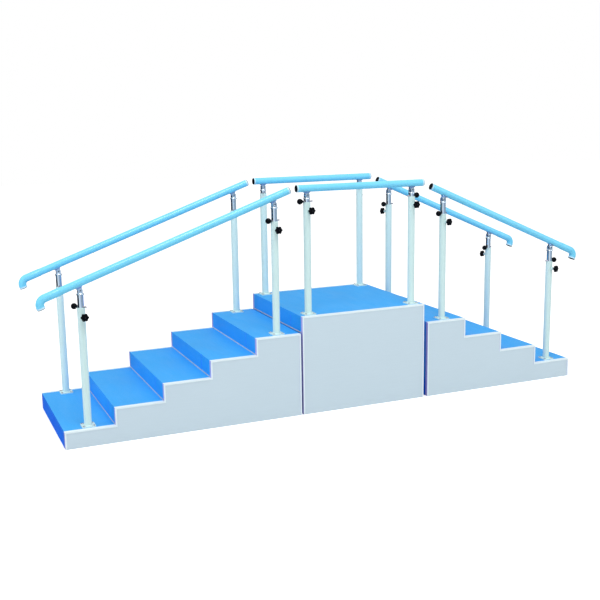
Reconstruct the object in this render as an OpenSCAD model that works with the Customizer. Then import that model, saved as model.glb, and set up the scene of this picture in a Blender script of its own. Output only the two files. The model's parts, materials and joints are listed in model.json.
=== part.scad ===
// Training staircase with handrails for gait practice.
// Two flights of different rise meet at a deck, and six rails stand on twelve height-adjustable posts.
// X runs along the walk, Y across it, Z up. The origin is on the floor under the middle of the whole set.

/* [Steps] */
// Height of the deck above the floor
deck_height = 600; // [450:10:720]
// Steps below the deck on the left flight
left_steps = 5; // [3:1:6]
// Steps below the deck on the right flight
right_steps = 4; // [3:1:6]
// Depth of one tread on the left flight
left_tread = 280; // [250:5:320]
// Depth of one tread on the right flight
right_tread = 275; // [250:5:320]
// Length of the deck
deck_length = 825; // [700:5:1000]
// Width of every module over its edge trims
module_width = 840; // [700:10:1000]
// Space between the left flight and the deck
left_gap = 12; // [5:1:40]
// Space between the deck and the right flight
right_gap = 28; // [5:1:40]

/* [Boards] */
// Thickness of a side panel with its trim
side_thickness = 25; // [20:1:30]
// Thickness of a vinyl-covered tread board
tread_thickness = 20; // [18:1:25]
// Thickness of a vinyl-covered riser or end board
riser_thickness = 15; // [12:1:20]
// Side of the square battens that carry the treads
batten = 30; // [25:1:40]
// Thickness of the rib under the middle of each module
rib_thickness = 18; // [15:1:24]
// Thickness of the metal edge trim
trim_thickness = 2; // [1.5:0.5:3]
// Width of the trim's leaf on the outer face
trim_leaf = 9; // [6:1:15]

/* [Posts] */
// Height of a post's rim above its tread
post_height = 668; // [600:1:720]
// Outer diameter of a post
post_d = 42.7; // [40:0.1:48]
// Wall of a post
post_wall = 2.3; // [2:0.1:3]
// Side of the square base plate
plate_side = 76; // [72:1:100]
// Thickness of the base plate
plate_thickness = 6; // [5:1:8]
// From a module's outer face to its posts' axes
post_setback = 66; // [60:1:80]
// From the deck's left edge to its first posts' axes
deck_inset_left = 66; // [50:1:90]
// From the deck's right edge to its last posts' axes
deck_inset_right = 60; // [48:1:90]
// Shift of the left flight's upper posts from the middle of their tread towards the deck
left_high_shift = 12; // [0:1:40]
// From the rim down to the clamp screw's axis
clamp_drop = 48; // [45:1:80]

/* [Inner tubes] */
// Outer diameter of an inner tube
tube_d = 34; // [32:0.1:35]
// Wall of an inner tube
tube_wall = 2.8; // [2:0.1:3.5]
// Length of inner tube inside its post
tube_insert = 330; // [300:5:400]
// Distance between the height holes
hole_pitch = 25; // [20:1:30]
// Number of height holes
hole_count = 8; // [5:1:10]
// Diameter of a locking pin
pin_d = 8; // [6:0.5:10]

/* [Rails] */
// Diameter of a rail
rail_d = 42; // [38:0.5:44]
// Wall of a rail
rail_wall = 2.2; // [2:0.1:3]
// Height of a flight's rail axis above the lowest tread at its post
stair_rail_height = 803; // [780:1:900]
// Height of the deck's rail axis above the deck
deck_rail_height = 748; // [735:1:900]
// From a pivot to the rail's axis
lug_height = 38; // [36:1:42]
// Rail beyond the high saddle of the left flight
left_high_overhang = 110; // [60:1:115]
// Rail beyond the high saddle of the right flight
right_high_overhang = 109; // [60:1:115]
// From the low saddle to the bend on the left flight
left_low_overhang = 187; // [140:1:210]
// From the low saddle to the bend on the right flight
right_low_overhang = 165; // [140:1:210]
// Deck rail beyond its left posts
deck_left_overhang = 62; // [40:1:75]
// Deck rail beyond its right posts
deck_right_overhang = 76; // [40:1:85]
// Outer diameter of the end elbow
elbow_d = 45; // [44:0.5:48]
// Radius of the end elbow's centre line
elbow_radius = 38; // [34:1:60]

/* [Hidden] */
$fn = 64;
running = 0.05; // radial clearance of a pin in its bore
side_play = 0.3; // clearance beside a lug and under a pin
seam = 0.02; // parts that only touch stay separate solids by this much

left_rise = deck_height / (left_steps + 1);
right_rise = deck_height / (right_steps + 1);
left_run = left_steps * left_tread;
right_run = right_steps * right_tread;
deck_x = left_run + left_gap;
right_x = deck_x + deck_length + right_gap;
end_x = right_x + right_run;
inner_width = module_width - 2 * side_thickness;
left_slope = atan2(left_rise, left_tread);
right_slope = atan2(right_rise, right_tread);

// Flights as [name, steps, tread, rise], the deck as a flight of one step.
LEFT = ["left", left_steps, left_tread, left_rise];
DECK = ["deck", 1, deck_length, deck_height];
RIGHT = ["right", right_steps, right_tread, right_rise];

// Posts stand at stations: [name, x, tread height, clamp angle in front, pin angle in front,
// clamp angle at the back, pin angle at the back]. The angles are the knobs' headings in plan.
STATIONS = [
    ["left_low", left_tread / 2, left_rise, 280, 135, 81, 81],
    ["left_high", left_run - left_tread / 2 + left_high_shift, left_steps * left_rise, 277, 196, 71, 71],
    ["deck_left", deck_x + deck_inset_left, deck_height, 281, 180, 69, 69],
    ["deck_right", deck_x + deck_length - deck_inset_right, deck_height, 279, 15, 63, 63],
    ["right_high", right_x + right_tread / 2, right_steps * right_rise, 289, 201, 118, 190],
    ["right_low", end_x - right_tread / 2, right_rise, 293, 8, 110, 200]
];
ROWS = ["front", "back"];
function row_y(row) = row == "front" ? post_setback : module_width - post_setback;
function clamp_angle(s, row) = row == "front" ? s[3] : s[5];
function pin_angle(s, row) = row == "front" ? s[4] : s[6];
function on_deck(s) = s[2] == deck_height;
function rim_z(s) = s[2] + post_height;
function slope_of(s) = on_deck(s) ? 0 : s[1] < deck_x ? left_slope : right_slope;
// A flight's rail follows the slope of its steps from the low post on.
function stair_rail_z(s) = stair_rail_height + (s[1] < deck_x
    ? left_rise + (s[1] - left_tread / 2) * tan(left_slope)
    : right_rise + (end_x - right_tread / 2 - s[1]) * tan(right_slope));
function rail_z(s) = on_deck(s) ? deck_height + deck_rail_height : stair_rail_z(s);
function pivot_z(s) = rail_z(s) - lug_height / cos(slope_of(s));

// Rails as [name, first station, second station, overhangs]. The first station is the low one.
RAILS = [
    ["left", STATIONS[0], STATIONS[1], left_low_overhang, left_high_overhang],
    ["deck", STATIONS[2], STATIONS[3], deck_left_overhang, deck_right_overhang],
    ["right", STATIONS[5], STATIONS[4], right_low_overhang, right_high_overhang]
];
function span(r) = norm([r[2][1] - r[1][1], pivot_z(r[2]) - pivot_z(r[1])]);
function slides(r) = r[0] != "deck";

// The elbows' outermost points set the overall length, whose middle is the origin.
elbow_reach = elbow_radius + elbow_d / 2;
min_x = left_tread / 2 - left_low_overhang * cos(left_slope)
    + (elbow_radius - lug_height) * sin(left_slope) - elbow_reach;
max_x = end_x - right_tread / 2 + right_low_overhang * cos(right_slope)
    - (elbow_radius - lug_height) * sin(right_slope) + elbow_reach;
middle_x = (min_x + max_x) / 2;

tie_z = 250;
tie_y = 200;
tie_r = 5;
tie_head_r = 9;
tie_head = 7;
tie_spacer_r = 12;
screw_r = 4;
screw_head_r = 7.5;
screw_head = 5;
screw_spacing = 54;
screw_depth = 18;
hole_play = 0.5; // room round a bolt or a base screw in its hole

SILVER = [0.80, 0.83, 0.88];
BLACK = [0.07, 0.07, 0.08];
WHITE = [0.88, 0.93, 0.93];
RAIL_BLUE = [0.45, 0.80, 0.97];
VINYL_BLUE = [0.22, 0.56, 0.96];
PANEL_GREY = [0.80, 0.85, 0.88];
WOOD = [0.80, 0.68, 0.50];

// ---- placing ----
module placed() {
    translate([-middle_x, -module_width / 2, 0]) children();
}
// A flight is drawn climbing towards +X from x = 0. The right one is turned to climb towards -X.
module sited(flight) {
    if (flight[0] == "right")
        translate([end_x, 0, 0]) mirror([1, 0, 0]) children();
    else
        translate([flight[0] == "deck" ? deck_x : 0, 0, 0]) children();
}
// An outline drawn in X and Z, standing as a board from y on.
module upright(y, thickness) {
    translate([0, y + thickness, 0]) rotate([90, 0, 0]) linear_extrude(thickness) children();
}
// The same thing at the front and mirrored at the back.
module both_sides() {
    children();
    translate([0, module_width, 0]) mirror([0, 1, 0]) children();
}
module at_post(s, row) {
    translate([s[1], row_y(row), 0]) children();
}
// X' along a rail from its first pivot to its second, Z' away from the treads.
module along_rail(r, row) {
    up = r[0] == "right" ? [1, 0, 0] : [0, 0, 0];
    translate([r[1][1], row_y(row), pivot_z(r[1])])
        mirror(up) rotate([0, -slope_of(r[1]), 0]) children();
}

// ---- boxes of the three modules ----
// The side view of a flight, drawn in by dx from its fronts and ends and by dz from its tops.
function stepped(flight, dx, dz, foot) = let (n = flight[1], t = flight[2], r = flight[3])
    concat([[dx, foot]],
        [for (i = [0:n - 1]) each [
            [i * t + dx, (i + 1) * r - dz],
            [(i + 1) * t + (i < n - 1 ? dx : -dx), (i + 1) * r - dz]]],
        [[n * t - dx, foot]]);

module side_panels(flight) {
    color(PANEL_GREY) sited(flight) both_sides()
        upright(trim_thickness, side_thickness - trim_thickness)
            polygon(stepped(flight, trim_thickness, trim_thickness, 0));
}

module edge_trim(flight) {
    upright(0, side_thickness) difference() {
        polygon(stepped(flight, 0, 0, 0));
        polygon(stepped(flight, trim_thickness, trim_thickness, -1));
    }
    upright(0, trim_thickness) difference() {
        polygon(stepped(flight, 0, 0, 0));
        polygon(stepped(flight, trim_leaf, trim_leaf, -1));
    }
}

module edge_trims() {
    color(WHITE) for (flight = [LEFT, DECK, RIGHT]) sited(flight) both_sides() edge_trim(flight);
}

module screw_places() {
    for (a = [-1, 1], b = [-1, 1]) translate([a * screw_spacing / 2, b * screw_spacing / 2, 0]) children();
}

module screw_holes() {
    for (s = STATIONS, row = ROWS)
        at_post(s, row) translate([0, 0, s[2] - screw_depth]) screw_places()
            cylinder(r = screw_r, h = screw_depth + 1);
}

module treads(flight) {
    color(VINYL_BLUE) difference() {
        sited(flight) for (i = [0:flight[1] - 1])
            translate([i * flight[2], side_thickness, (i + 1) * flight[3] - tread_thickness])
                cube([flight[2], inner_width, tread_thickness]);
        screw_holes();
    }
}

// Ties cross the two gaps, drawn from the left end board's outer face towards +X.
module at_ties(x) {
    for (side = [-1, 1])
        translate([x, module_width / 2 + side * tie_y, tie_z]) rotate([0, 90, 0]) children();
}

module tie_holes() {
    for (x = [left_run, deck_x + deck_length])
        at_ties(x) translate([0, 0, -2 * riser_thickness])
            cylinder(r = tie_r + hole_play, h = 4 * riser_thickness + max(left_gap, right_gap));
}

module risers(flight) {
    n = flight[1];
    t = flight[2];
    r = flight[3];
    color(VINYL_BLUE) difference() {
        sited(flight) {
            for (i = [0:n - 1])
                let (bottom = i == 0 ? 0 : i * r - tread_thickness)
                    translate([i * t, side_thickness, bottom])
                        cube([riser_thickness, inner_width, (i + 1) * r - tread_thickness - bottom]);
            translate([n * t - riser_thickness, side_thickness, 0])
                cube([riser_thickness, inner_width, n * r - tread_thickness]);
        }
        tie_holes();
    }
}

module battens(flight) {
    n = flight[1];
    t = flight[2];
    r = flight[3];
    both_sides() for (i = [0:n - 1])
        translate([i * t + riser_thickness, side_thickness, (i + 1) * r - tread_thickness - batten])
            cube([t - riser_thickness - (i == n - 1 ? riser_thickness : 0), batten, batten]);
    upright((module_width - rib_thickness) / 2, rib_thickness)
        polygon(stepped(flight, riser_thickness, tread_thickness, 0));
}

module inner_battens() {
    color(WOOD) for (flight = [LEFT, DECK, RIGHT]) sited(flight) battens(flight);
}

// One tie: a spacer in the gap and a bolt through both end boards, with its nut.
module tie(gap) {
    grip = gap + 2 * riser_thickness;
    color(SILVER) {
        difference() {
            union() {
                cylinder(r = tie_spacer_r, h = gap);
                translate([0, 0, gap + riser_thickness]) cylinder(r = tie_head_r, h = tie_head, $fn = 6);
            }
            translate([0, 0, -1]) cylinder(r = tie_r + seam, h = grip);
        }
        translate([0, 0, -riser_thickness]) {
            cylinder(r = tie_r, h = grip + tie_head);
            translate([0, 0, -tie_head]) cylinder(r = tie_head_r, h = tie_head, $fn = 6);
        }
    }
}

module module_ties() {
    at_ties(left_run) tie(left_gap);
    at_ties(deck_x + deck_length) tie(right_gap);
}

// ---- posts ----
boss_r = 9;
boss_end = 33;
clamp_r = 4;
module at_clamp(s, row) {
    translate([0, 0, rim_z(s) - clamp_drop]) rotate([0, 90, clamp_angle(s, row)]) children();
}

module post(s, row) {
    foot = s[2] + plate_thickness + seam;
    color(WHITE) {
        translate([0, 0, s[2]]) difference() {
            translate([-plate_side / 2, -plate_side / 2, 0]) cube([plate_side, plate_side, plate_thickness]);
            translate([0, 0, -1]) screw_places() cylinder(r = screw_r + hole_play, h = plate_thickness + 2);
        }
        difference() {
            union() {
                translate([0, 0, foot]) cylinder(d = post_d, h = rim_z(s) - foot);
                at_clamp(s, row) cylinder(r = boss_r, h = boss_end);
            }
            translate([0, 0, foot - 1]) cylinder(d = post_d - 2 * post_wall, h = post_height);
            at_clamp(s, row) cylinder(r = clamp_r + running, h = boss_end + 1);
        }
    }
}

module posts() {
    for (s = STATIONS, row = ROWS) at_post(s, row) post(s, row);
}

module base_screws() {
    color(SILVER) for (s = STATIONS, row = ROWS)
        at_post(s, row) translate([0, 0, s[2]]) screw_places() {
            translate([0, 0, -screw_depth]) cylinder(r = screw_r, h = screw_depth + plate_thickness);
            translate([0, 0, plate_thickness]) rotate_extrude()
                polygon([[0, 0], [screw_head_r, 0], [screw_head_r, 0.4 * screw_head],
                         [0.75 * screw_head_r, 0.9 * screw_head], [0, screw_head]]);
        }
}

// ---- inner tube with its fork head, drawn at the pivot ----
cup_d = 40;
cup_bottom = 27;
cup_top = 15;
socket = 8;
fork_half = 14;
ear_r = 13;
ear_t = 7;
hinge_r = 4;
hinge_head_r = 7;
hinge_head = 4;
module head() {
    difference() {
        union() {
            translate([0, 0, -cup_bottom]) cylinder(d = cup_d, h = cup_bottom - cup_top);
            for (side = [-1, 1]) translate([0, side * (fork_half - ear_t / 2), 0]) {
                rotate([90, 0, 0]) cylinder(r = ear_r, h = ear_t, center = true);
                translate([-ear_r, -ear_t / 2, -cup_top]) cube([2 * ear_r, ear_t, cup_top]);
            }
        }
        translate([0, 0, -cup_bottom - 1]) cylinder(r = tube_d / 2 + seam, h = socket + 1);
        rotate([90, 0, 0]) cylinder(r = hinge_r + seam, h = 3 * fork_half, center = true);
    }
}

module hinge_pin() {
    rotate([90, 0, 0]) {
        translate([0, 0, -fork_half - seam]) cylinder(r = hinge_r, h = 2 * fork_half + 2 * seam);
        for (side = [0, 1])
            mirror([0, 0, side]) translate([0, 0, fork_half + seam])
                cylinder(r = hinge_head_r, h = hinge_head);
    }
}

module inner_tube(s, row) {
    top = pivot_z(s) - cup_bottom + socket - seam;
    bottom = rim_z(s) - tube_insert;
    color(SILVER) {
        difference() {
            translate([0, 0, bottom]) cylinder(d = tube_d, h = top - bottom);
            translate([0, 0, bottom - 1]) cylinder(d = tube_d - 2 * tube_wall, h = top - bottom + 2);
            for (i = [0:hole_count - 1])
                translate([0, 0, pin_z(s) - i * hole_pitch]) rotate([0, 90, pin_angle(s, row)])
                    cylinder(r = pin_d / 2 + running, h = 2 * tube_d, center = true);
        }
        translate([0, 0, pivot_z(s)]) {
            head();
            hinge_pin();
        }
    }
}

// ---- locking pin, resting on the rim ----
function pin_z(s) = rim_z(s) + pin_d / 2 + side_play;
pin_tail = 38;
ball_r = 17;
ball_reach = 44;
neck_r = 7;
taper_r = 12;
neck_start = post_d / 2 + 1;
neck_length = 5;
module locking_pin(s, row) {
    translate([0, 0, pin_z(s)]) rotate([0, 90, pin_angle(s, row)]) {
        color(SILVER) {
            translate([0, 0, -pin_tail]) cylinder(d = pin_d, h = pin_tail + ball_reach);
            translate([0, 0, neck_start]) difference() {
                cylinder(r = neck_r, h = neck_length);
                translate([0, 0, -1]) cylinder(r = pin_d / 2 + seam, h = neck_length + 2);
            }
        }
        color(BLACK) difference() {
            union() {
                translate([0, 0, ball_reach]) sphere(r = ball_r);
                translate([0, 0, neck_start + neck_length + seam])
                    cylinder(r1 = neck_r, r2 = taper_r, h = ball_reach - neck_start - neck_length - ball_r / 2);
            }
            cylinder(r = pin_d / 2 + seam, h = ball_reach + seam);
        }
    }
}

// ---- clamp screw with its lobed knob ----
lobe_count = 6;
lobe_r = 6.5;
lobe_offset = 16.5;
star_start = 43;
star_thickness = 17;
module star_knob(s, row) {
    at_clamp(s, row) {
        color(SILVER) translate([0, 0, tube_d / 2 + side_play])
            cylinder(r = clamp_r, h = star_start + star_thickness / 2 - tube_d / 2 - side_play);
        color(BLACK) difference() {
            translate([0, 0, star_start]) {
                cylinder(r = lobe_offset + 1, h = star_thickness);
                for (i = [0:lobe_count - 1]) rotate([0, 0, i * 360 / lobe_count])
                    translate([lobe_offset, 0, 0]) cylinder(r = lobe_r, h = star_thickness);
                translate([0, 0, star_thickness]) cylinder(r1 = 10, r2 = 8, h = 2);
            }
            cylinder(r = clamp_r + seam, h = star_start + star_thickness / 2 + seam);
        }
    }
}

// ---- rails ----
// Saddle under a rail, drawn at the pivot: a lug in the fork, a cradle, and a stud with a T-head in the rail.
rail_r = rail_d / 2;
bore_r = rail_r - rail_wall;
lug_t = 2 * (fork_half - ear_t - side_play);
lug_r = 11.5;
cradle_length = 36;
cradle_width = 26;
cradle_bottom = ear_r + 0.7;
cradle_top = 22;
stud_r = 3;
t_head = [16, 10, 3.5];
t_head_z = lug_height - bore_r + 1.2; // its corners clear the bore
sliding = 0.1; // radial clearance of a saddle that slides along its rail
module saddle(play) {
    color(SILVER) {
        difference() {
            union() {
                rotate([90, 0, 0]) cylinder(r = lug_r, h = lug_t, center = true);
                translate([-lug_r, -lug_t / 2, 0]) cube([2 * lug_r, lug_t, cradle_bottom + 1]);
                translate([-cradle_length / 2, -cradle_width / 2, cradle_bottom])
                    cube([cradle_length, cradle_width, cradle_top - cradle_bottom]);
            }
            rotate([90, 0, 0]) cylinder(r = hinge_r + running, h = 2 * lug_t, center = true);
            translate([0, 0, lug_height]) rotate([0, 90, 0])
                cylinder(r = rail_r + play, h = 2 * cradle_length, center = true);
        }
        translate([0, 0, cradle_bottom]) cylinder(r = stud_r, h = t_head_z - cradle_bottom + 1);
        translate([-t_head[0] / 2, -t_head[1] / 2, t_head_z]) cube(t_head);
    }
}

// End cap: a plug in the bore and a rounded rim outside, facing +X'.
cap_rim = 4;
cap_reach = 8;
module end_cap(outer, inner, plug) {
    color(BLACK) rotate([0, 90, 0]) rotate_extrude()
        polygon([[0, -plug], [inner, -plug], [inner, 0], [outer, 0], [outer, cap_rim],
                 [outer - cap_rim + 1, cap_reach - 1], [0, cap_reach]]);
}

// Elbow, drawn at the rail's end: a sleeve over the rail, a quarter bend and a short leg with its cap.
elbow_sleeve = 84;
elbow_leg = 6;
module bend(r) {
    translate([0, 0, -elbow_radius]) rotate([90, 0, 180]) rotate_extrude(angle = 90)
        translate([elbow_radius, 0]) circle(r = r);
}
module elbow() {
    color(RAIL_BLUE) difference() {
        union() {
            rotate([0, 90, 0]) cylinder(d = elbow_d, h = elbow_sleeve);
            bend(elbow_d / 2);
            translate([-elbow_radius, 0, -elbow_radius - elbow_leg]) cylinder(d = elbow_d, h = elbow_leg);
        }
        translate([-seam, 0, 0]) rotate([0, 90, 0]) cylinder(r = rail_r + seam, h = elbow_sleeve + 1);
        bend(bore_r);
        translate([-elbow_radius, 0, -elbow_radius - elbow_leg - 1]) cylinder(r = bore_r, h = elbow_leg + 1);
    }
    translate([-elbow_radius, 0, -elbow_radius - elbow_leg - seam])
        rotate([0, 90, 0]) end_cap(elbow_d / 2, bore_r - seam, elbow_leg - 1);
}

rail_plug = 14;
slot_half = stud_r + side_play;
slot_travel = 17;
module rail(r, row) {
    length = span(r);
    along_rail(r, row) {
        translate([0, 0, lug_height]) {
            color(RAIL_BLUE) difference() {
                translate([-r[3], 0, 0]) rotate([0, 90, 0]) cylinder(r = rail_r, h = r[3] + length + r[4]);
                translate([-r[3] - 1, 0, 0]) rotate([0, 90, 0])
                    cylinder(r = bore_r, h = r[3] + length + r[4] + 2);
                translate([0, 0, -rail_r - 1]) cylinder(r = stud_r + seam, h = rail_wall + 2);
                if (slides(r))
                    translate([length - slot_half, -slot_half, -rail_r - 1])
                        cube([slot_travel + 2 * slot_half, 2 * slot_half, rail_wall + 2]);
                else
                    translate([length, 0, -rail_r - 1]) cylinder(r = stud_r + seam, h = rail_wall + 2);
            }
            translate([length + r[4] + seam, 0, 0]) end_cap(rail_r, bore_r - seam, rail_plug);
            if (slides(r))
                translate([-r[3], 0, 0]) elbow();
            else
                translate([-r[3] - seam, 0, 0]) mirror([1, 0, 0]) end_cap(rail_r, bore_r - seam, rail_plug);
        }
        saddle(seam);
        if (!slides(r)) translate([length, 0, 0]) saddle(seam);
    }
}

module sliding_saddle(r, row) {
    along_rail(r, row) translate([span(r), 0, 0]) saddle(sliding);
}

placed() side_panels(LEFT);  // left_side_panels
placed() treads(LEFT);  // left_treads
placed() risers(LEFT);  // left_risers
placed() side_panels(DECK);  // deck_side_panels
placed() treads(DECK);  // deck_board
placed() risers(DECK);  // deck_end_boards
placed() side_panels(RIGHT);  // right_side_panels
placed() treads(RIGHT);  // right_treads
placed() risers(RIGHT);  // right_risers
placed() edge_trims();
placed() inner_battens();
placed() posts();
placed() base_screws();
placed() module_ties();
for (r = RAILS, row = ROWS) {
    placed() rail(r, row);
    if (slides(r))
        placed() sliding_saddle(r, row);
}
for (s = STATIONS, row = ROWS) {
    placed() at_post(s, row) inner_tube(s, row);
    placed() at_post(s, row) locking_pin(s, row);
    placed() at_post(s, row) star_knob(s, row);
}
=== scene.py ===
"""Looks of the training stairs: detailed metalwork, rails and knobs, with finishes for the boards.

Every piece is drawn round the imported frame. Shapes are drawn in millimetres and stored in metres.
"""
import json
import math

import bmesh
import bpy
from mathutils import Matrix, Vector

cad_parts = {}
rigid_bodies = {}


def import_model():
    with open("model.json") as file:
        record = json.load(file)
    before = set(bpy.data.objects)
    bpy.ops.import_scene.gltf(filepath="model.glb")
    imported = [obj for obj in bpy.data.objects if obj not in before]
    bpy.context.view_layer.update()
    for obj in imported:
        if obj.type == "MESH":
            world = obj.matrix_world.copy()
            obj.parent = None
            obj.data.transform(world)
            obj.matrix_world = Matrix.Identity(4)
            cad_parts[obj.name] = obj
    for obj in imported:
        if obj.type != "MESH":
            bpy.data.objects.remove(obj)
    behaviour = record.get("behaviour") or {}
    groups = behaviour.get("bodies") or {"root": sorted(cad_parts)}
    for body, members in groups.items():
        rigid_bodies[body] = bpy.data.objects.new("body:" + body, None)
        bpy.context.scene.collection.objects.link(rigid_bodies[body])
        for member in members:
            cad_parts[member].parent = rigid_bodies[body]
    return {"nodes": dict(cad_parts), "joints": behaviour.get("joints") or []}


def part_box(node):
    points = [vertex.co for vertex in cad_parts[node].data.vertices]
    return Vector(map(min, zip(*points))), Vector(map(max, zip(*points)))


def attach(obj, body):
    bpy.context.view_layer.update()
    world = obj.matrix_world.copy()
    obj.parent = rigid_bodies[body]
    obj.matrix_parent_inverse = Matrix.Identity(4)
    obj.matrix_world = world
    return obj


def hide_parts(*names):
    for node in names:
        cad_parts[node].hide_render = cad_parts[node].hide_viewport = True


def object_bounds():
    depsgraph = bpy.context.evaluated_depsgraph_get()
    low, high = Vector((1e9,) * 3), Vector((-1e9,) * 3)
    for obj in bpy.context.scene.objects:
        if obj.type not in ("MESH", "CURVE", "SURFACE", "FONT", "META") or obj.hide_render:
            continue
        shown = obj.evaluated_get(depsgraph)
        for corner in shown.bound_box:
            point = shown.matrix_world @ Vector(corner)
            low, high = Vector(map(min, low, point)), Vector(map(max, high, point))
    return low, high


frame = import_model()
CAD_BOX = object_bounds()
NODES = frame["nodes"]
JOINTS = {j["name"]: j for j in frame["joints"]}
MM = 0.001
SMOOTH_BELOW = math.radians(38)

# ---- sizes of the metalwork, in millimetres ----
POST_R, POST_BORE = 21.35, 19.05
PLATE, PLATE_THICK, PLATE_CORNER = 76, 6, 7
BOSS_R, BOSS_END = 9, 33
SCREW_OFFSET = 27
TUBE_R, TUBE_BORE = 17, 14.2
HOLE_R, HOLE_PITCH, HOLE_COUNT = 4.05, 25, 8
CUP_R, CUP_BOTTOM, CUP_TOP, SOCKET = 20, -27, -15, 8
FORK_HALF, EAR_R, EAR_THICK = 14, 13, 7
PIN_R, PIN_TAIL, NECK_START = 4, 38, 22.35
BALL_R, BALL_REACH = 17, 44
STAR_START, STAR_THICK, LOBES = 43, 17, 6
CLAMP_R = 4
PLAY = 0.3
SLOT_HALF, SLOT_RUN = 3.3, 17
RAIL_R, RAIL_BORE, LUG = 21, 18.8, 38
LUG_R, LUG_HALF = 11.5, 6.7
CRADLE_HALF, CRADLE_SIDE, CRADLE_BOTTOM = 18, 13, 13.7
ELBOW_R, BEND_R, SLEEVE, LEG, CAP_OUT = 22.5, 38, 84, 6, 8


# ---- shapes, each a list of points and a list of faces ----
def lathe(profile, steps=48, lobes=0):
    """Turns (radius, height) points about Z. A third value waves that ring's radius round the lobes."""
    points, faces, rings = [], [], []
    for radius, height, *wave in profile:
        count = steps if radius > 0 else 1
        rings.append([len(points) + i for i in range(count)])
        for i in range(count):
            angle = math.tau * i / steps
            r = radius + (wave[0] * math.cos(lobes * angle) if wave else 0)
            points.append((r * math.cos(angle), r * math.sin(angle), height))
    for low, high in zip(rings, rings[1:]):
        for i in range(steps):
            j = (i + 1) % steps
            if len(low) > 1 and len(high) > 1:
                faces.append((low[i], low[j], high[j], high[i]))
            elif len(high) > 1:
                faces.append((low[0], high[j], high[i]))
            elif len(low) > 1:
                faces.append((low[i], low[j], high[0]))
    return points, faces


def prism(outline, low, high, bevel=0.0, segments=2):
    """An outline in X and Y, extruded from low to high along Z, with rounded edges."""
    bm = bmesh.new()
    bottom = [bm.verts.new((x, y, low)) for x, y in outline]
    top = [bm.verts.new((x, y, high)) for x, y in outline]
    bm.faces.new(bottom[::-1])
    bm.faces.new(top)
    for i in range(len(outline)):
        j = (i + 1) % len(outline)
        bm.faces.new((bottom[i], bottom[j], top[j], top[i]))
    if bevel:
        sharp = [e for e in bm.edges if e.calc_face_angle(0) > math.radians(30)]
        bmesh.ops.bevel(bm, geom=sharp, offset=bevel, segments=segments, profile=0.5, affect="EDGES")
    bm.verts.index_update()
    points = [tuple(v.co) for v in bm.verts]
    faces = [tuple(v.index for v in f.verts) for f in bm.faces]
    bm.free()
    return points, faces


def sweep(stations, steps=40):
    """Rings along a path in the XZ plane. A station is (x, z, heading in degrees, radius)."""
    points, faces = [], []
    for x, z, heading, radius in stations:
        h = math.radians(heading)
        up = Vector((-math.sin(h), 0, math.cos(h)))
        for i in range(steps):
            angle = math.tau * i / steps
            spot = Vector((x, 0, z)) + up * (radius * math.cos(angle))
            points.append((spot.x, radius * math.sin(angle), spot.z))
    for ring in range(len(stations) - 1):
        for i in range(steps):
            j = (i + 1) % steps
            a, b = ring * steps, (ring + 1) * steps
            faces.append((a + i, a + j, b + j, b + i))
    faces.append(tuple(range(steps)))
    faces.append(tuple(range((len(stations) - 1) * steps, len(stations) * steps))[::-1])
    return points, faces


def moved(shape, matrix):
    points, faces = shape
    return [tuple(matrix @ Vector(p)) for p in points], faces


def rounded_square(side, corner, steps=6):
    """A square's outline with round corners."""
    reach = side / 2 - corner
    outline = []
    for quarter in range(4):
        for i in range(steps + 1):
            angle = math.radians(90 * quarter + 90 * i / steps)
            centre = (reach * (1 if quarter in (0, 3) else -1), reach * (1 if quarter < 2 else -1))
            outline.append((centre[0] + corner * math.cos(angle), centre[1] + corner * math.sin(angle)))
    return outline


def hexagon(radius):
    return [(radius * math.cos(math.tau * i / 6), radius * math.sin(math.tau * i / 6)) for i in range(6)]


def mesh_of(name, parts):
    """One mesh from (shape, material) pairs, in metres, smooth but for its sharp edges."""
    points, faces, numbers, materials = [], [], [], []
    for (part_points, part_faces), material in parts:
        if material not in materials:
            materials.append(material)
        start = len(points)
        points += [tuple(c * MM for c in p) for p in part_points]
        faces += [tuple(start + i for i in f) for f in part_faces]
        numbers += [materials.index(material)] * len(part_faces)
    mesh = bpy.data.meshes.new(name)
    mesh.from_pydata(points, [], faces)
    for material in materials:
        mesh.materials.append(material)
    mesh.polygons.foreach_set("material_index", numbers)
    bm = bmesh.new()
    bm.from_mesh(mesh)
    bmesh.ops.recalc_face_normals(bm, faces=bm.faces)
    bm.to_mesh(mesh)
    bm.free()
    mesh.polygons.foreach_set("use_smooth", [True] * len(mesh.polygons))
    mesh.set_sharp_from_angle(angle=SMOOTH_BELOW)
    return mesh


def piece(name, parts, body, at=Matrix.Identity(4), node=None):
    """A visible piece at its place, riding on a body, and standing for a CAD node if one is named."""
    obj = bpy.data.objects.new(name, mesh_of(name, parts))
    bpy.context.scene.collection.objects.link(obj)
    obj.matrix_world = at
    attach(obj, body)
    if node:
        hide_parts(node)
    return obj


def cut(obj, shape):
    """Takes a shape, in the piece's own millimetres, out of a piece."""
    tool = bpy.data.objects.new("cutter", mesh_of("cutter", [(shape, obj.data.materials[0])]))
    bpy.context.scene.collection.objects.link(tool)
    tool.matrix_world = obj.matrix_world
    change = obj.modifiers.new("cut", "BOOLEAN")
    change.object = tool
    change.operation = "DIFFERENCE"
    change.solver = "EXACT"
    bpy.context.view_layer.update()
    graph = bpy.context.evaluated_depsgraph_get()
    mesh = bpy.data.meshes.new_from_object(obj.evaluated_get(graph))
    obj.modifiers.clear()
    obj.data = mesh
    mesh.set_sharp_from_angle(angle=SMOOTH_BELOW)
    bpy.data.objects.remove(tool)


# ---- materials ----
def srgb(red, green, blue):
    def linear(value):
        c = value / 255
        return c / 12.92 if c <= 0.04045 else ((c + 0.055) / 1.055) ** 2.4
    return linear(red), linear(green), linear(blue), 1.0


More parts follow.
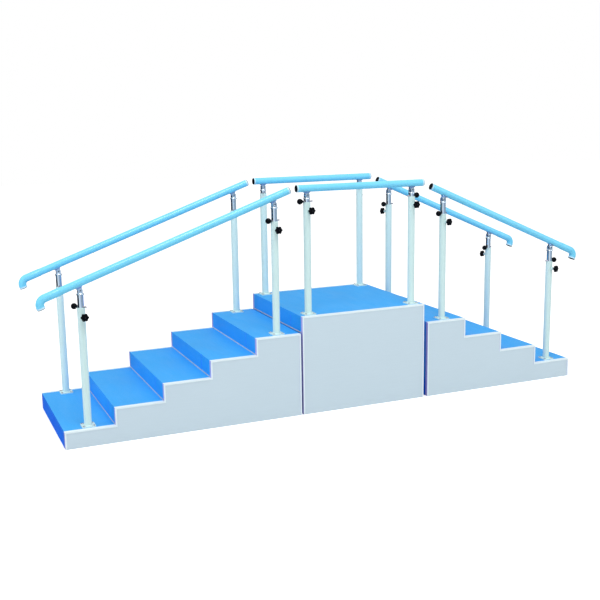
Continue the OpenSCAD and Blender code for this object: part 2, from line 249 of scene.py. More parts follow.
class Finish:
    """A material under construction: a Principled shader and the noises that drive it."""

    def __init__(self, name, roughness, metallic=0.0, coat=0.0, sheen=0.0, specular=0.5):
        self.material = bpy.data.materials.new(name)
        self.material.use_nodes = True
        self.tree = self.material.node_tree
        self.shader = self.tree.nodes["Principled BSDF"]
        self.set("Roughness", roughness)
        self.set("Metallic", metallic)
        self.set("Coat Weight", coat)
        self.set("Sheen Weight", sheen)
        self.set("Specular IOR Level", specular)
        self.bumps = None

    def set(self, socket, value):
        self.shader.inputs[socket].default_value = value

    def node(self, kind, **settings):
        made = self.tree.nodes.new(kind)
        for key, value in settings.items():
            setattr(made, key, value)
        return made

    def wire(self, source, target):
        self.tree.links.new(source, target)

    def noise(self, scale, detail=2.0, stretch=(1, 1, 1), seed=0.0):
        """Noise over the object's own coordinates, from 0 to 1. Scale is in features per metre."""
        place = self.node("ShaderNodeTexCoord")
        mapping = self.node("ShaderNodeMapping")
        mapping.inputs["Scale"].default_value = stretch
        mapping.inputs["Location"].default_value = (seed, seed, seed)
        self.wire(place.outputs["Object"], mapping.inputs["Vector"])
        texture = self.node("ShaderNodeTexNoise")
        texture.inputs["Scale"].default_value = scale
        texture.inputs["Detail"].default_value = detail
        self.wire(mapping.outputs["Vector"], texture.inputs["Vector"])
        return texture.outputs["Fac"]

    def spread(self, source, low, high, start=0.3, end=0.7):
        """A value in start..end carried over to low..high."""
        reach = self.node("ShaderNodeMapRange")
        reach.inputs["From Min"].default_value = start
        reach.inputs["From Max"].default_value = end
        reach.inputs["To Min"].default_value = low
        reach.inputs["To Max"].default_value = high
        self.wire(source, reach.inputs["Value"])
        return reach.outputs["Result"]

    def mixed(self, factor, first, second):
        """A colour between two colours or colour sockets."""
        mix = self.node("ShaderNodeMix", data_type="RGBA")
        self.wire(factor, mix.inputs["Factor"])
        for socket, value in ((mix.inputs[6], first), (mix.inputs[7], second)):
            if isinstance(value, tuple):
                socket.default_value = value
            else:
                self.wire(value, socket)
        return mix.outputs[2]

    def colour(self, source):
        if isinstance(source, tuple):
            self.set("Base Color", source)
        else:
            self.wire(source, self.shader.inputs["Base Color"])

    def rough(self, source):
        self.wire(source, self.shader.inputs["Roughness"])

    def bump(self, source, height):
        """Adds relief of that height in millimetres."""
        made = self.node("ShaderNodeBump")
        made.inputs["Strength"].default_value = 1.0
        made.inputs["Distance"].default_value = height * MM
        self.wire(source, made.inputs["Height"])
        if self.bumps:
            self.wire(self.bumps, made.inputs["Normal"])
        self.bumps = made.outputs["Normal"]
        self.wire(self.bumps, self.shader.inputs["Normal"])


def shade(colour, factor):
    return tuple(c * factor for c in colour[:3]) + (1.0,)


def vinyl(name, top, side, foot):
    """Sheet flooring: fine emboss, cloudy tone and scuffs. Upright faces differ, and near the floor they take
    a deeper blue as painted shade.
    """
    f = Finish(name, roughness=0.5, specular=0.22)
    normal = f.node("ShaderNodeNewGeometry")
    split = f.node("ShaderNodeSeparateXYZ")
    f.wire(normal.outputs["True Normal"], split.inputs["Vector"])
    level = f.spread(split.outputs["Z"], 0, 1, 0.4, 0.8)
    place = f.node("ShaderNodeTexCoord")
    height = f.node("ShaderNodeSeparateXYZ")
    f.wire(place.outputs["Object"], height.inputs["Vector"])
    # Painted shade: upright faces below about 0.1 m fade to the deeper foot colour.
    side = f.mixed(f.spread(height.outputs["Z"], 0, 1, 0.085, 0.125), foot, side)
    base = f.mixed(level, side, top)
    cloud = f.spread(f.noise(3.2, 4), 0, 0.35)
    toned = f.mixed(cloud, base, shade(top, 0.86))
    fleck = f.spread(f.noise(900, 1, seed=4), 0, 0.12, 0.62, 0.7)
    f.colour(f.mixed(fleck, toned, (0.75, 0.9, 1.0, 1.0)))
    f.rough(f.spread(f.noise(14, 5, (1, 0.25, 1), seed=9), 0.40, 0.58))
    f.bump(f.noise(650, 2, seed=2), 0.12)
    return f.material


def laminate(name, colour, seed):
    """Panel laminate: even colour with a faint drawn grain."""
    f = Finish(name, roughness=0.42, specular=0.4)
    grain = f.spread(f.noise(60, 3, (0.12, 1, 2.5), seed), 0, 0.35)
    f.colour(f.mixed(grain, colour, shade(colour, 0.95)))
    f.rough(f.spread(f.noise(9, 4, seed=seed + 3), 0.36, 0.5))
    f.bump(f.noise(1400, 1, seed=seed), 0.03)
    return f.material


def powder_coat(name, colour, roughness=0.36, peel=0.05, streak=0.96, x_face_shade=None):
    """Powder or dip coating: orange-peel relief and a slight drift of tone. Faces along X may take a painted
    shade colour.
    """
    f = Finish(name, roughness=roughness, coat=0.25)
    f.set("Coat Roughness", 0.15)
    toned = f.mixed(f.spread(f.noise(11, 3), 0, 1), colour, shade(colour, streak))
    # Painted shade: faces turned along X blend to the given colour.
    if x_face_shade:
        normal = f.node("ShaderNodeNewGeometry")
        split = f.node("ShaderNodeSeparateXYZ")
        f.wire(normal.outputs["True Normal"], split.inputs["Vector"])
        across = f.node("ShaderNodeMath", operation="ABSOLUTE")
        f.wire(split.outputs["X"], across.inputs[0])
        toned = f.mixed(f.spread(across.outputs[0], 0, 1, 0.5, 0.9), toned, x_face_shade)
    f.colour(toned)
    f.rough(f.spread(f.noise(35, 3, seed=5), roughness - 0.05, roughness + 0.08))
    f.bump(f.noise(420, 2, seed=1), peel)
    return f.material


def chrome(name, colour, roughness=0.13):
    """Plated steel: near-mirror with fine draw marks and a little haze."""
    f = Finish(name, roughness=roughness, metallic=1.0)
    f.colour(f.mixed(f.spread(f.noise(40, 3), 0, 1), colour, shade(colour, 0.93)))
    f.rough(f.spread(f.noise(160, 4, (1, 1, 0.06), seed=3), roughness - 0.04, roughness + 0.06))
    f.bump(f.noise(900, 2, (1, 1, 0.05), seed=8), 0.006)
    return f.material


def moulded(name, colour, roughness=0.38, specular=0.5):
    """Moulded plastic: fine spark-eroded grain, polished where hands rub it."""
    f = Finish(name, roughness=roughness, specular=specular)
    f.colour(f.mixed(f.spread(f.noise(120, 2), 0, 1), colour, shade(colour, 1.5)))
    f.rough(f.spread(f.noise(55, 3, seed=6), roughness - 0.1, roughness + 0.1))
    f.bump(f.noise(1800, 1, seed=7), 0.04)
    return f.material


def softwood(name, colour):
    """Planed pine: long grain with darker late wood."""
    f = Finish(name, roughness=0.65, specular=0.3)
    grain = f.noise(70, 5, (0.05, 1, 1))
    f.colour(f.mixed(f.spread(grain, 0, 1, 0.4, 0.65), colour, shade(colour, 0.72)))
    f.bump(grain, 0.2)
    return f.material


TREAD_BLUE = srgb(52, 166, 240)
RISER_BLUE = srgb(36, 158, 244)
# The foot blue is painted shade: upright vinyl faces near the floor are drawn deeper.
FOOT_SHADE_BLUE = srgb(8, 106, 240)
VINYL_TREAD = vinyl("tread_vinyl", TREAD_BLUE, RISER_BLUE, FOOT_SHADE_BLUE)
VINYL_RISER = vinyl("riser_vinyl", RISER_BLUE, RISER_BLUE, FOOT_SHADE_BLUE)
SEAM_WELD = moulded("seam_weld", srgb(34, 104, 222), 0.4)
COVE = moulded("cove_strip", srgb(165, 172, 182), 0.5)
PANEL = laminate("panel_laminate", srgb(203, 221, 230), 1.0)
# The lavender on the trims' faces along X is painted shade, darkening the module gaps and step edges.
TRIM = powder_coat("trim_white", srgb(232, 246, 250), 0.4, 0.02, 0.98, srgb(176, 172, 228))
POST_WHITE = powder_coat("post_white", srgb(208, 236, 234))
RAIL_BLUE = powder_coat("rail_blue", srgb(118, 214, 248), 0.3, 0.03, 0.95)
RING_PALE = powder_coat("ring_pale", srgb(190, 230, 250), 0.35, 0.02)
CHROME = chrome("chrome", srgb(224, 236, 246), 0.08)
# The saddles' blue tint is a painted reflection of the blue rails in the chrome.
SADDLE_CHROME_BLUE_REFLECTION = chrome("saddle_chrome", srgb(168, 204, 244), 0.14)
STEEL = chrome("pin_steel", srgb(188, 178, 186), 0.26)
ZINC = chrome("zinc", srgb(205, 208, 214), 0.24)
BLACK = moulded("black_plastic", srgb(4, 5, 11), 0.42, 0.08)
# Painted shade: dark plugs stand for the shadowed depth of screw sockets and the knob's middle hole.
RECESS_SHADE = moulded("painted_recess_shade", srgb(10, 11, 18), 0.6)
PINE = softwood("pine", srgb(206, 176, 130))


# ---- stations, read from the frame ----
def heading_matrix(position, axis):
    """Z along the axis, at a position."""
    return Matrix.Translation(Vector(position)) @ Vector(axis).to_track_quat("Z", "Y").to_matrix().to_4x4()


def station_of(tube):
    """What stands round one inner tube: its axis, heights, pivot, and knob headings."""
    name = tube[len("tube_"):]
    low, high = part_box(tube)
    pin_low, pin_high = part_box("pin_" + name)
    pivots = [j for j in frame["joints"] if j["type"] == "hinge"
              and ((j["parent"] == tube and j["child"].startswith("rail_")) or j["child"] == tube)]
    return {
        "name": name,
        "tube": tube,
        "x": (low.x + high.x) / 2,
        "y": (low.y + high.y) / 2,
        "pivot": Vector(pivots[0]["pos_m"]),
        "bottom": low.z,
        "pin_z": (pin_low.z + pin_high.z) / 2,
        "pull": Vector(JOINTS["pull_" + name]["axis"]),
        "clamp": JOINTS["turn_" + name],
    }


STATIONS = [station_of(node) for node in sorted(NODES) if node.startswith("tube_")]
RIM_BELOW_PIN = PIN_R + PLAY


def tread_height(station):
    """The tread under a post, from the boards' own tops."""
    x = station["x"]
    tops = []
    for node in ("left_treads", "deck_board", "right_treads"):
        for v in NODES[node].data.vertices:
            if v.co.z < station["bottom"]:
                tops.append((abs(v.co.x - x), v.co.z))
    nearest = min(t[0] for t in tops)
    return max(z for d, z in tops if d < nearest + 0.01)


# ---- posts ----
def weld_bead(radius, height, beads=40, thick=2.2):
    """A fillet weld round a tube's foot: a low cone with a rippled outer edge."""
    return lathe([(radius - 1, height, 0), (radius + thick + 0.6, height, 0.35),
                  (radius + thick, height + 1.0, 0.3), (radius + 1.2, height + 2.2, 0.2),
                  (radius - 0.3, height + thick + 1.2, 0)], steps=beads * 4, lobes=beads)


def make_post(s, first):
    foot = tread_height(s)
    rim = (s["pin_z"] - foot) / MM - RIM_BELOW_PIN
    pipe = lathe([(POST_BORE, PLATE_THICK), (POST_R, PLATE_THICK), (POST_R, rim - 1), (POST_R - 0.9, rim),
                  (POST_BORE + 0.4, rim), (POST_BORE, rim - 0.8), (POST_BORE, PLATE_THICK)], 64)
    plate = prism(rounded_square(PLATE, PLATE_CORNER), 0, PLATE_THICK, 1.2, 3)
    turn = Matrix.Translation((0, 0, Vector(s["clamp"]["pos_m"]).z / MM - foot / MM)) \
        @ Vector(s["clamp"]["axis"]).to_track_quat("Z", "Y").to_matrix().to_4x4()
    boss = lathe([(0, POST_BORE), (BOSS_R, POST_BORE), (BOSS_R, BOSS_END - 1), (BOSS_R - 1, BOSS_END),
                  (CLAMP_R + 0.8, BOSS_END), (CLAMP_R + 0.2, BOSS_END - 1), (0, BOSS_END - 1)], 32)
    bead = lathe([(BOSS_R - 0.5, POST_BORE), (BOSS_R + 2, POST_R - 1.6, 0.3),
                  (BOSS_R + 1.2, POST_R + 0.9, 0.25), (BOSS_R - 0.3, POST_R + 2.4)], 96, 16)
    parts = [(pipe, POST_WHITE), (plate, POST_WHITE), (weld_bead(POST_R, PLATE_THICK), POST_WHITE),
             (moved(boss, turn), POST_WHITE), (moved(bead, turn), POST_WHITE)]
    piece("post_" + s["name"], parts, "stairs",
          Matrix.Translation((s["x"], s["y"], foot)), "posts" if first else None)
    make_base_screws(s, foot, first)


def make_base_screws(s, foot, first):
    """Four button-head screws with hexagon sockets, on washers. Each socket is a dark plug painted as the
    recess's shade.
    """
    washer = lathe([(5, PLATE_THICK), (8.2, PLATE_THICK), (8.2, PLATE_THICK + 1), (7.7, PLATE_THICK + 1.4),
                    (5, PLATE_THICK + 1.4)], 32)
    top = PLATE_THICK + 1.4
    head = lathe([(0, top), (6.4, top), (6.3, top + 1.4), (5.2, top + 2.8), (3.2, top + 3.4),
                  (2.6, top + 3.2), (2.5, top + 1), (0, top + 0.9)], 32)
    socket = prism(hexagon(2.5), top + 0.8, top + 2.2)
    parts = []
    for a in (-1, 1):
        for b in (-1, 1):
            at = Matrix.Translation((a * SCREW_OFFSET, b * SCREW_OFFSET, 0))
            parts += [(moved(washer, at), ZINC), (moved(head, at), ZINC), (moved(socket, at), RECESS_SHADE)]
    piece("base_screws_" + s["name"], parts, "stairs",
          Matrix.Translation((s["x"], s["y"], foot)), "base_screws" if first else None)


# ---- inner tubes with their fork heads ----
def ear_outline(radius, bottom, steps=20):
    arc = [(radius * math.cos(math.pi * i / steps), radius * math.sin(math.pi * i / steps))
           for i in range(steps + 1)]
    return arc + [(-radius, bottom), (radius, bottom)]


def make_tube(s):
    pivot = s["pivot"]
    bottom = (s["bottom"] - pivot.z) / MM
    top = CUP_BOTTOM + SOCKET
    pipe = lathe([(TUBE_BORE, bottom), (TUBE_R - 0.5, bottom), (TUBE_R, bottom + 0.5), (TUBE_R, top),
                  (TUBE_BORE, top), (TUBE_BORE, bottom)], 64)
    tube = piece(s["tube"] + "_pipe", [(pipe, CHROME)], s["tube"],
                 Matrix.Translation(pivot), s["tube"])
    across = Vector(s["pull"]).to_track_quat("Z", "Y").to_matrix().to_4x4()
    drill = lathe([(0, -2 * TUBE_R), (HOLE_R, -2 * TUBE_R), (HOLE_R, 2 * TUBE_R), (0, 2 * TUBE_R)], 24)
    first = (s["pin_z"] - pivot.z) / MM
    holes = [moved(drill, Matrix.Translation((0, 0, first - i * HOLE_PITCH)) @ across)
             for i in range(HOLE_COUNT)]
    points, faces = [], []
    for hole_points, hole_faces in holes:
        faces += [tuple(len(points) + i for i in f) for f in hole_faces]
        points += hole_points
    cut(tube, (points, faces))
    piece(s["tube"] + "_fork", fork_parts(), s["tube"], Matrix.Translation(pivot))


def fork_parts():
    """A bell cup on the tube's end, two round ears, and a hinge bolt whose sockets are dark plugs painted as
    shade.
    """
    cup = lathe([(TUBE_R + 0.1, CUP_BOTTOM + SOCKET - 1), (TUBE_R + 0.1, CUP_BOTTOM + 0.3),
                 (CUP_R - 1.2, CUP_BOTTOM), (CUP_R - 0.2, CUP_BOTTOM + 0.8), (CUP_R, CUP_BOTTOM + 2.2),
                 (CUP_R - 0.3, CUP_BOTTOM + 6), (CUP_R - 1.6, CUP_BOTTOM + 9.5),
                 (CUP_R - 4, CUP_TOP - 0.4), (CUP_R - 8, CUP_TOP + 0.3), (0, CUP_TOP + 0.4)], 64)
    ear = prism(ear_outline(EAR_R, CUP_TOP - 3), FORK_HALF - EAR_THICK, FORK_HALF, 1.3, 3)
    stand = Matrix.Rotation(math.radians(90), 4, "X")
    head = lathe([(0, FORK_HALF - 1), (7, FORK_HALF - 1), (7, FORK_HALF + 2.6), (6, FORK_HALF + 3.8),
                  (3.6, FORK_HALF + 4), (3.4, FORK_HALF + 1.2), (0, FORK_HALF + 1.1)], 32)
    socket = prism(hexagon(3.3), FORK_HALF + 1, FORK_HALF + 2.4)
    rod = lathe([(0, -FORK_HALF), (CLAMP_R, -FORK_HALF), (CLAMP_R, FORK_HALF), (0, FORK_HALF)], 24)
    parts = [(cup, CHROME), (moved(rod, stand), STEEL)]
    for side in (1, -1):
        turn = stand @ Matrix.Scale(side, 4, (0, 0, 1))
        parts += [(moved(ear, turn), CHROME), (moved(head, turn), CHROME), (moved(socket, turn), RECESS_SHADE)]
    grub = lathe([(0, CUP_R - 1), (2.6, CUP_R - 1), (2.6, CUP_R + 1.6), (2.2, CUP_R + 2), (1.3, CUP_R + 2),
                  (1.2, CUP_R + 1), (0, CUP_R + 1)], 20)
    sideways = Matrix.Translation((0, 0, CUP_BOTTOM + 5)) @ Matrix.Rotation(math.radians(90), 4, "Y")
    return parts + [(moved(grub, sideways), STEEL)]


# ---- locking pins and star knobs ----
def make_pin(s):
    """A steel pin with a round tip, and its ball knob on a short neck."""
    shaft = lathe([(0, -PIN_TAIL), (2.2, -PIN_TAIL), (3.4, -PIN_TAIL + 1.2), (PIN_R, -PIN_TAIL + 3),
                   (PIN_R, NECK_START + 2), (0, NECK_START + 2)], 32)
    neck = NECK_START
    profile = [(0, neck), (6.2, neck), (7, neck + 0.7), (7.1, neck + 2.4), (7.8, neck + 4.4),
               (9.4, neck + 6.8), (11.4, neck + 8.8)]
    for i in range(13):
        angle = math.radians(-42 + 132 * i / 12)
        profile.append((BALL_R * math.cos(angle), BALL_REACH + BALL_R * math.sin(angle)))
    profile[-1] = (0, BALL_REACH + BALL_R)
    name = "pin_" + s["name"]
    at = heading_matrix((s["x"], s["y"], s["pin_z"]), s["pull"])
    piece(name, [(shaft, STEEL), (lathe(profile, 48), BLACK)], name, at, name)


def make_star(s):
    """A lobed hand knob with a raised middle, its hub, and its screw."""
    name = "star_knob_" + s["name"]
    a, b = STAR_START, STAR_START + STAR_THICK
    body = lathe([(0, a + 2, 0), (9, a + 2, 0), (10, a, 0), (16.6, a, 1.5), (19.2, a + 0.7, 1.9),
                  (20.4, a + 2.2, 2.1), (20.8, a + 4.5, 2.2), (20.8, b - 4.5, 2.2), (20.2, b - 2, 2.0),
                  (18.7, b - 0.6, 1.7), (15.8, b, 1.2), (11.5, b - 0.4, 0), (10.6, b - 1.4, 0),
                  (9.4, b - 1.4, 0), (8.8, b + 0.8, 0), (7.6, b + 1.9, 0), (4.4, b + 2, 0), (4.1, b + 1, 0),
                  (0, b + 1, 0)], 144, LOBES)
    hub = lathe([(CLAMP_R, a - 2.4), (7.6, a - 2.4), (8.4, a - 1.4), (8.6, a + 2.5), (CLAMP_R, a + 2.5)], 40)
    # The insert is a dark plug in the knob's middle hole: painted shade.
    insert = lathe([(0, b - 2), (3.4, b - 2), (3.4, b + 1.5), (2.8, b + 1.8), (0, b + 1.8)], 32)
    ridges = []
    for i in range(12):
        z = STAR_START - 12 + i
        ridges += [(CLAMP_R - 0.45, z), (CLAMP_R, z + 0.5)]
    screw = lathe([(0, TUBE_R + PLAY), (2.6, TUBE_R + PLAY), (CLAMP_R - 0.4, TUBE_R + 1.6), *ridges,
                   (0, STAR_START)], 24)
    at = heading_matrix(s["clamp"]["pos_m"], s["clamp"]["axis"])
    piece(name, [(body, BLACK), (hub, BLACK), (screw, STEEL), (insert, RECESS_SHADE)], name, at, name)


# ---- rails ----
def saddle_parts():
    """A lug in the fork and a cradle that fits the rail, drawn at the pivot with X along the rail."""
    lug = prism(ear_outline(LUG_R, -0.01)[:-2], -LUG_HALF, LUG_HALF, 0.9)
    lower = lathe([(0, -LUG_HALF), (LUG_R - 0.8, -LUG_HALF), (LUG_R, -LUG_HALF + 0.8),
                   (LUG_R, LUG_HALF - 0.8), (LUG_R - 0.8, LUG_HALF), (0, LUG_HALF)], 40)
    stand = Matrix.Rotation(math.radians(90), 4, "X")
    web = prism([(-LUG_R, 0), (LUG_R, 0), (LUG_R + 3.5, CRADLE_BOTTOM + 1),
                 (-LUG_R - 3.5, CRADLE_BOTTOM + 1)], -LUG_HALF, LUG_HALF, 0.8)
    half = math.degrees(math.asin(CRADLE_SIDE / RAIL_R))
    arc = [(RAIL_R * math.sin(math.radians(a)), LUG - RAIL_R * math.cos(math.radians(a)))
           for a in [half - 2 * half * i / 16 for i in range(17)]]
    section = [(-CRADLE_SIDE, CRADLE_BOTTOM + 2.5), (-CRADLE_SIDE + 2, CRADLE_BOTTOM),
               (CRADLE_SIDE - 2, CRADLE_BOTTOM), (CRADLE_SIDE, CRADLE_BOTTOM + 2.5)]
    cradle = prism(section + arc, -CRADLE_HALF, CRADLE_HALF, 0.7)
    lengthwise = Matrix(((0, 0, 1, 0), (1, 0, 0, 0), (0, 1, 0, 0), (0, 0, 0, 1)))
    return [(moved(lug, stand), SADDLE_CHROME_BLUE_REFLECTION), (moved(lower, stand), SADDLE_CHROME_BLUE_REFLECTION),
            (moved(web, stand), SADDLE_CHROME_BLUE_REFLECTION), (moved(cradle, lengthwise), SADDLE_CHROME_BLUE_REFLECTION)]


def end_parts(radius):
    """A pale ring and a black domed plug, facing +Z from the rail's end at 0."""
    ring = lathe([(radius - 1.5, -6), (radius + 0.1, -6), (radius + 0.3, -5.4), (radius + 0.3, 2.9),
                  (radius - 0.1, 3.4), (radius - 1.6, 3.4), (radius - 1.5, -6)], 56)
    plug = lathe([(0, -4), (radius - 1.8, -4), (radius - 1.8, 3.5), (radius - 0.2, 3.5), (radius - 0.1, 4.4),
                  (radius - 0.9, 5.7), (radius - 2.6, 6.7), (radius - 6, 7.5), (radius - 12, CAP_OUT - 0.1),
                  (0, CAP_OUT)], 56)
    return [(ring, RING_PALE), (plug, BLACK)]


def reach(node, origin, direction):
    """How far a node's points lie along a direction from an origin, lowest and highest, in millimetres."""
    values = [(v.co - origin).dot(direction) / MM for v in NODES[node].data.vertices]
    return min(values), max(values)


def make_rail(name):
    tilt = JOINTS["tilt_" + name[len("rail_"):]]
    start = Vector(tilt["pos_m"])
    level = JOINTS["level_" + name[len("rail_"):]]
    end = Vector(level["pos_m"])
    along = (end - start).normalized()
    up = along.cross(Vector((0, 1, 0)))
    if up.z < 0:
        up = -up
    side = up.cross(along)
    at = Matrix.Translation(start) @ Matrix((along, side, up)).transposed().to_4x4()
    length = (end - start).length / MM
    low, high = reach(name, start, along)
    sloping = abs(along.z) > 0.01
    far = high - CAP_OUT
    near = low + CAP_OUT
    if sloping:
        near = low + BEND_R + ELBOW_R
    lift = Matrix.Translation((0, 0, LUG))
    lie = Matrix.Rotation(math.radians(90), 4, "Y")
    pipe = lathe([(RAIL_BORE, near), (RAIL_R, near), (RAIL_R, far), (RAIL_BORE, far), (RAIL_BORE, near)], 64)
    tube = piece(name + "_pipe", [(moved(pipe, lift @ lie), RAIL_BLUE)], name, at, name)
    if sloping:
        slot_low, slot_high = length - SLOT_HALF, length + SLOT_RUN + SLOT_HALF
        slot = prism([(slot_low, -SLOT_HALF), (slot_high, -SLOT_HALF), (slot_high, SLOT_HALF),
                      (slot_low, SLOT_HALF)], LUG - RAIL_R - 1, LUG - RAIL_BORE + 1)
        cut(tube, slot)
        make_elbow(name, at, near)
        back = Matrix.Translation((near - BEND_R, 0, LUG - BEND_R - LEG)) @ Matrix.Rotation(math.pi, 4, "X")
        back_r = ELBOW_R
    else:
        back = lift @ Matrix.Translation((near, 0, 0)) @ Matrix.Rotation(math.radians(-90), 4, "Y")
        back_r = RAIL_R
    front = lift @ Matrix.Translation((far, 0, 0)) @ lie
    caps = [(moved(shape, back), m) for shape, m in end_parts(back_r)]
    caps += [(moved(shape, front), m) for shape, m in end_parts(RAIL_R)]
    piece(name + "_end_caps", caps, name, at)
    piece(name + "_saddle_first", saddle_parts(), name, at)
    second = at @ Matrix.Translation((length * MM, 0, 0))
    if sloping:
        node = "saddle_" + name[len("rail_"):]
        piece(node + "_plate", saddle_parts(), node, second, node)
    else:
        piece(name + "_saddle_second", saddle_parts(), name, second)


def make_elbow(name, at, near):
    """A sleeve over the rail's low end, a quarter bend and a short leg."""
    stations = [(near + SLEEVE, LUG, 0, RAIL_R - 0.2), (near + SLEEVE, LUG, 0, RAIL_R + 1.3),
                (near + SLEEVE - 0.8, LUG, 0, ELBOW_R), (near, LUG, 0, ELBOW_R)]
    for i in range(1, 17):
        turn = 90 * i / 16
        angle = math.radians(turn)
        stations.append((near - BEND_R * math.sin(angle), LUG - BEND_R + BEND_R * math.cos(angle),
                         turn, ELBOW_R))
    stations.append((near - BEND_R, LUG - BEND_R - LEG, 90, ELBOW_R))
    piece(name + "_elbow", [(sweep(stations, 56), RAIL_BLUE)], name, at)


# ---- boards ----
def finish_node(node, material, bevel):
    """A CAD node that stays: its material, with its edges eased by a bevel in millimetres."""
    obj = NODES[node]
    obj.data.materials.clear()
    obj.data.materials.append(material)
    ease = obj.modifiers.new("ease", "BEVEL")
    ease.width = bevel * MM
    ease.segments = 2
    ease.limit_method = "ANGLE"
    ease.angle_limit = math.radians(40)
    ease.harden_normals = True


BOARDS = (("left_side_panels", PANEL, 0.6), ("deck_side_panels", PANEL, 0.6),
          ("right_side_panels", PANEL, 0.6), ("left_treads", VINYL_TREAD, 1.2),
          ("deck_board", VINYL_TREAD, 1.2), ("right_treads", VINYL_TREAD, 1.2),
          ("left_risers", VINYL_RISER, 0.6), ("deck_end_boards", VINYL_RISER, 0.6),
          ("right_risers", VINYL_RISER, 0.6), ("edge_trims", TRIM, 0.7), ("inner_battens", PINE, 0.8),
          ("module_ties", ZINC, 0.5))


def steps_of(node):
    """The flight's tread levels as (top z, lowest x, highest x), from its treads, lowest first."""
    tops = {}
    for v in NODES[node].data.vertices:
        tops.setdefault(round(v.co.z, 4), []).append(v.co)
    levels = [z for z in sorted(tops) if max(c.x for c in tops[z]) - min(c.x for c in tops[z]) > 0.2]
    return [(z, min(c.x for c in tops[z]), max(c.x for c in tops[z])) for z in levels]


def make_flight_details(flight, climbs):
    """A grey cove strip along each riser's foot, and a welded seam up each riser and the deck's end."""
    low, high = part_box(flight + "_treads")
    tops = steps_of(flight + "_treads")[1::2]
    seam_y = (low.y + 0.2 * (high.y - low.y)) / MM
    deck_low, deck_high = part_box("deck_end_boards")
    tops.append((deck_high.z, deck_low.x, deck_high.x))
    strips, seams = [], []
    for (foot, _, _), (top, left, right) in zip(tops, tops[1:]):
        x = (left if climbs > 0 else right) / MM
        strip = prism([(0, 0), (2, 0), (1.7, 1.6), (0.8, 4.5), (0, 5)], low.y / MM, high.y / MM)
        flip = Matrix(((-climbs, 0, 0, x), (0, 0, 1, 0), (0, 1, 0, foot / MM), (0, 0, 0, 1)))
        strips.append((moved(strip, flip), COVE))
        seam = prism([(0, -3), (0.5, -1.8), (0.5, 1.8), (0, 3)], foot / MM + 6, top / MM - 1.5)
        turn = Matrix(((-climbs, 0, 0, x), (0, 1, 0, seam_y), (0, 0, 1, 0), (0, 0, 0, 1)))
        seams.append((moved(seam, turn), SEAM_WELD))
    piece(flight + "_cove_strips", strips, "stairs")
    piece(flight + "_riser_seams", seams, "stairs")


for number, station in enumerate(STATIONS):
    make_post(station, number == 0)
    make_tube(station)
    make_pin(station)
    make_star(station)
for node in sorted(NODES):
    if node.startswith("rail_"):
        make_rail(node)
for node, material, bevel in BOARDS:
    finish_node(node, material, bevel)
make_flight_details("left", 1)
make_flight_details("right", -1)


# ---- floor, light and camera ----
def make_floor():
    half = 20.0
    mesh = bpy.data.meshes.new("floor")
    corners = [(-half, -half, 0), (half, -half, 0), (half, half, 0), (-half, half, 0)]
    mesh.from_pydata(corners, [], [(0, 1, 2, 3)])
    f = Finish("floor_white", roughness=0.9, specular=0.1)
    f.colour((0.7, 0.7, 0.7, 1.0))
    f.set("Emission Color", (1.0, 1.0, 1.0, 1.0))
    rays = f.node("ShaderNodeLightPath")
    f.wire(f.spread(rays.outputs["Is Camera Ray"], 0.0, 0.6, 0, 1), f.shader.inputs["Emission Strength"])
    mesh.materials.append(f.material)
    floor = bpy.data.objects.new("floor", mesh)
    bpy.context.scene.collection.objects.link(floor)
    floor.location.z = CAD_BOX[0].z - 0.0005
    floor.visible_glossy = False


# What shiny metal sees round it at eye level, by direction in degrees from +X towards +Y.
NAVY, PALE, ICE, SLATE = (0.02, 0.03, 0.05), (0.88, 0.96, 1.0), (0.53, 0.64, 0.80), (0.32, 0.39, 0.47)
# Dark from behind the set, round the back, to its left.
ROOM = ((-154, NAVY), (-147, PALE), (-118, PALE), (-108, ICE), (-85, ICE), (-64, SLATE), (50, SLATE),
        (70, NAVY))


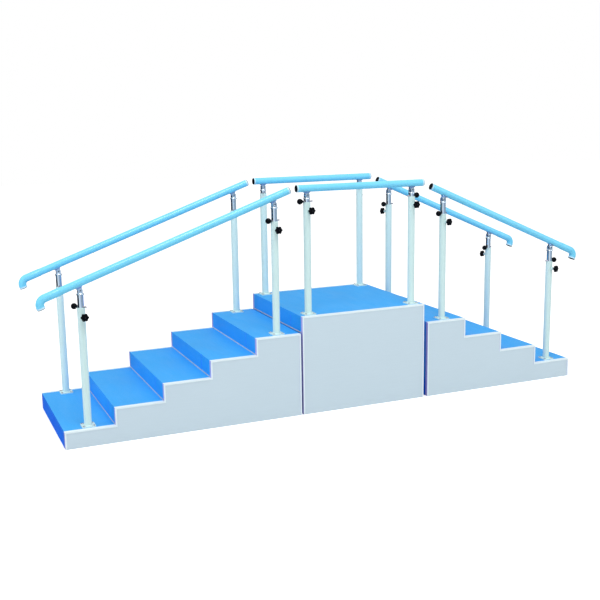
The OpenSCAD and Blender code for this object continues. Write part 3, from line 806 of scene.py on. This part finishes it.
def make_world():
    """White to the camera. Reflections see a bright ceiling over dark and pale screens."""
    world = bpy.data.worlds.new("studio")
    world.use_nodes = True
    tree = world.node_tree
    tree.nodes.clear()

    def node(kind, **settings):
        made = tree.nodes.new(kind)
        for key, value in settings.items():
            setattr(made, key, value)
        return made

    place = node("ShaderNodeTexCoord")
    split = node("ShaderNodeSeparateXYZ")
    tree.links.new(place.outputs["Generated"], split.inputs["Vector"])
    ceiling = node("ShaderNodeMapRange")
    ceiling.inputs["From Min"].default_value = 0.08
    ceiling.inputs["From Max"].default_value = 0.6
    tree.links.new(split.outputs["Z"], ceiling.inputs["Value"])
    sky = node("ShaderNodeMix", data_type="RGBA")
    sky.inputs[6].default_value = (0.52, 0.54, 0.59, 1)
    sky.inputs[7].default_value = (0.86, 0.86, 0.86, 1)
    tree.links.new(ceiling.outputs["Result"], sky.inputs["Factor"])
    azimuth = node("ShaderNodeMath", operation="ARCTAN2")
    tree.links.new(split.outputs["Y"], azimuth.inputs[0])
    tree.links.new(split.outputs["X"], azimuth.inputs[1])
    turn = node("ShaderNodeMapRange")
    turn.inputs["From Min"].default_value = -math.pi
    turn.inputs["From Max"].default_value = math.pi
    tree.links.new(azimuth.outputs[0], turn.inputs["Value"])
    room = node("ShaderNodeValToRGB")
    tree.links.new(turn.outputs["Result"], room.inputs["Fac"])
    stops = room.color_ramp.elements
    stops[0].color = stops[-1].color = (*NAVY, 1)
    for degrees, colour in ROOM:
        stops.new((degrees + 180) / 360).color = (*colour, 1)
    mirrored = node("ShaderNodeMix", data_type="RGBA")
    tree.links.new(ceiling.outputs["Result"], mirrored.inputs["Factor"])
    tree.links.new(room.outputs["Color"], mirrored.inputs[6])
    mirrored.inputs[7].default_value = (0.86, 0.86, 0.86, 1)
    rays = node("ShaderNodeLightPath")
    glossy = node("ShaderNodeMix", data_type="RGBA")
    tree.links.new(rays.outputs["Is Glossy Ray"], glossy.inputs["Factor"])
    tree.links.new(sky.outputs[2], glossy.inputs[6])
    tree.links.new(mirrored.outputs[2], glossy.inputs[7])
    seen = node("ShaderNodeMix", data_type="RGBA")
    seen.inputs[7].default_value = (1.0, 1.0, 1.0, 1)
    tree.links.new(rays.outputs["Is Camera Ray"], seen.inputs["Factor"])
    tree.links.new(glossy.outputs[2], seen.inputs[6])
    background = node("ShaderNodeBackground")
    background.inputs["Strength"].default_value = 1.0
    tree.links.new(seen.outputs[2], background.inputs["Color"])
    out = node("ShaderNodeOutputWorld")
    tree.links.new(background.outputs["Background"], out.inputs["Surface"])
    bpy.context.scene.world = world


def make_light(name, place, target, size, power, colour, mirrored=True):
    data = bpy.data.lights.new(name, "AREA")
    data.shape = "DISK"
    data.size = size
    data.energy = power
    data.color = colour
    light = bpy.data.objects.new(name, data)
    bpy.context.scene.collection.objects.link(light)
    light.visible_glossy = mirrored
    light.location = place
    light.rotation_euler = (Vector(target) - Vector(place)).to_track_quat("-Z", "Y").to_euler()


def make_camera():
    """Stands left of the set and in front of it, at the photograph's height, turned to its middle."""
    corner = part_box("edge_trims")[0]
    data = bpy.data.cameras.new("camera")
    data.lens = 56.98
    data.sensor_width = 36.0
    camera = bpy.data.objects.new("camera", data)
    bpy.context.scene.collection.objects.link(camera)
    turn = Matrix.Rotation(math.radians(-23.03), 4, "Z") @ Matrix.Rotation(math.radians(90 - 11.27), 4, "X") \
        @ Matrix.Rotation(math.radians(-0.89), 4, "Z")
    camera.matrix_world = Matrix.Translation(corner + Vector((-0.736, -5.019, 1.791))) @ turn
    bpy.context.scene.camera = camera


make_floor()
make_world()
make_light("key", (-1.0, -3.0, 6.0), (0, 0, 0.4), 3.0, 150, (1.0, 1.0, 1.0))
make_light("fill", (4.5, -4.0, 2.5), (0.4, 0, 0.5), 3.0, 40, (0.93, 0.97, 1.0))
make_light("side", (-5.5, 0.0, 1.6), (0, 0, 0.5), 2.5, 60, (0.80, 0.84, 1.0), mirrored=False)
make_camera()
bpy.context.scene.view_settings.view_transform = "Standard"
